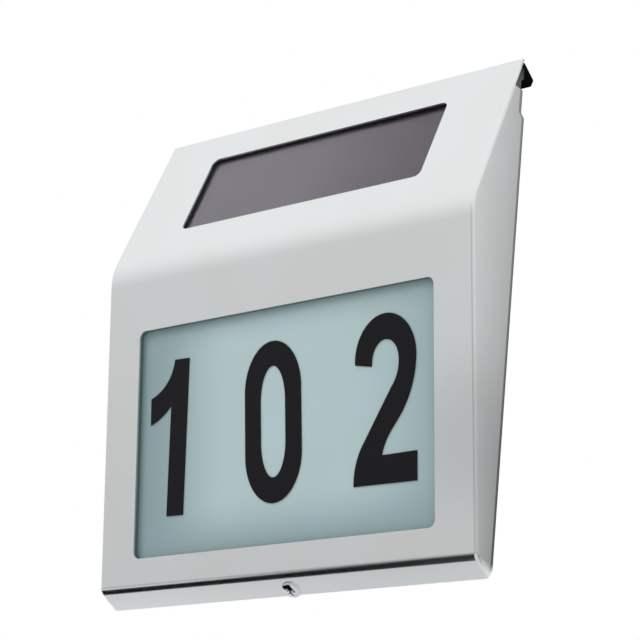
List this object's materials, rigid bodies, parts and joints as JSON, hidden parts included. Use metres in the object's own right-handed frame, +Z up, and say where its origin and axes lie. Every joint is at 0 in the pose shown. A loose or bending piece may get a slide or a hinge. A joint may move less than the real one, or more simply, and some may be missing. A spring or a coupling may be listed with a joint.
{
  "type": "illuminated house number sign",
  "caption": "Solar house number light: bent steel cover with a lit number window and a sloping solar panel, hung on a wall bracket.",
  "frame": {"origin": "centre of the four wall holes of the bracket, on the wall plane", "axes": "+X to the right as the sign is read, +Y into the wall, +Z up"},
  "size_m": [0.18, 0.0362, 0.2077],
  "materials": {
    "stainless_sheet": "satin stainless sheet",
    "bracket_steel": "satin stainless plate",
    "chrome_screw": "bright plated",
    "steel_screw": "zinc plated",
    "frosted_acrylic": "frosted, lets light through",
    "black_film": "satin film",
    "black_foam": "closed cell foam",
    "solar_cover": "clear epoxy sheet",
    "solar_silicon": "dark silicon",
    "circuit_board": "green solder mask",
    "white_board": "white solder mask",
    "black_abs": "glossy black",
    "white_plastic": "white, matt",
    "led_package": "white package with phosphor",
    "battery_sleeve": "printed film",
    "contact_steel": "nickel plated",
    "component_black": "moulded",
    "wire_insulation": "PVC"
  },
  "bodies": {
    "bracket": {"wall_bracket": "bracket_steel"},
    "lamp": {"front_cover": "stainless_sheet", "number_seal": "black_foam", "number_panel": "frosted_acrylic", "digit_one": "black_film", "digit_zero": "black_film", "digit_two": "black_film", "solar_seal": "black_foam", "solar_glass": "solar_cover", "solar_cell": "solar_silicon", "solar_board": "white_board", "main_housing": "black_abs", "back_cover": "black_abs", "back_seal": "black_foam", "case_screw_1": "steel_screw", "case_screw_2": "steel_screw", "case_screw_3": "steel_screw", "case_screw_4": "steel_screw", "case_screw_5": "steel_screw", "case_screw_6": "steel_screw", "case_screw_7": "steel_screw", "case_screw_8": "steel_screw", "light_box": "white_plastic", "led_board": "white_board", "led_1": "led_package", "led_2": "led_package", "led_3": "led_package", "led_4": "led_package", "led_5": "led_package", "battery_spring": "contact_steel", "battery_contact": "contact_steel", "control_board": "circuit_board", "charge_controller": "component_black", "charge_coil": "component_black", "diode": "component_black", "capacitor_1": "component_black", "capacitor_2": "component_black", "switch_body": "component_black", "solar_wire_1": "wire_insulation", "solar_wire_2": "wire_insulation", "led_wire_1": "wire_insulation", "led_wire_2": "wire_insulation", "battery_wire_1": "wire_insulation", "battery_wire_2": "wire_insulation"},
    "lock_screw": {"lock_screw": "chrome_screw"},
    "battery_door": {"battery_door": "black_abs", "door_screw": "steel_screw"},
    "battery": {"battery": "battery_sleeve"},
    "switch_knob": {"switch_knob": "white_plastic"}
  },
  "joints": [
    {"name": "lamp_lift", "type": "slide", "parent": "bracket", "child": "lamp", "axis": [0, 0, 1], "range_m": [0, 0.005]},
    {"name": "lock_screw_out", "type": "slide", "parent": "lamp", "child": "lock_screw", "axis": [0, -0.4772, -0.8788], "range_m": [0, 0.04]},
    {"name": "battery_door_open", "type": "slide", "parent": "lamp", "child": "battery_door", "axis": [0, 1, 0], "range_m": [0, 0.05]},
    {"name": "battery_out", "type": "slide", "parent": "lamp", "child": "battery", "axis": [0, 1, 0], "range_m": [0, 0.025]},
    {"name": "switch_slide", "type": "slide", "parent": "lamp", "child": "switch_knob", "axis": [1, 0, 0], "range_m": [0, 0.0026]}
  ],
  "couplings": [
    {"joint": "lock_screw_out", "follows": "lamp_lift", "ratio": 8},
    {"joint": "battery_out", "follows": "battery_door_open", "ratio": 0.5}
  ]
}
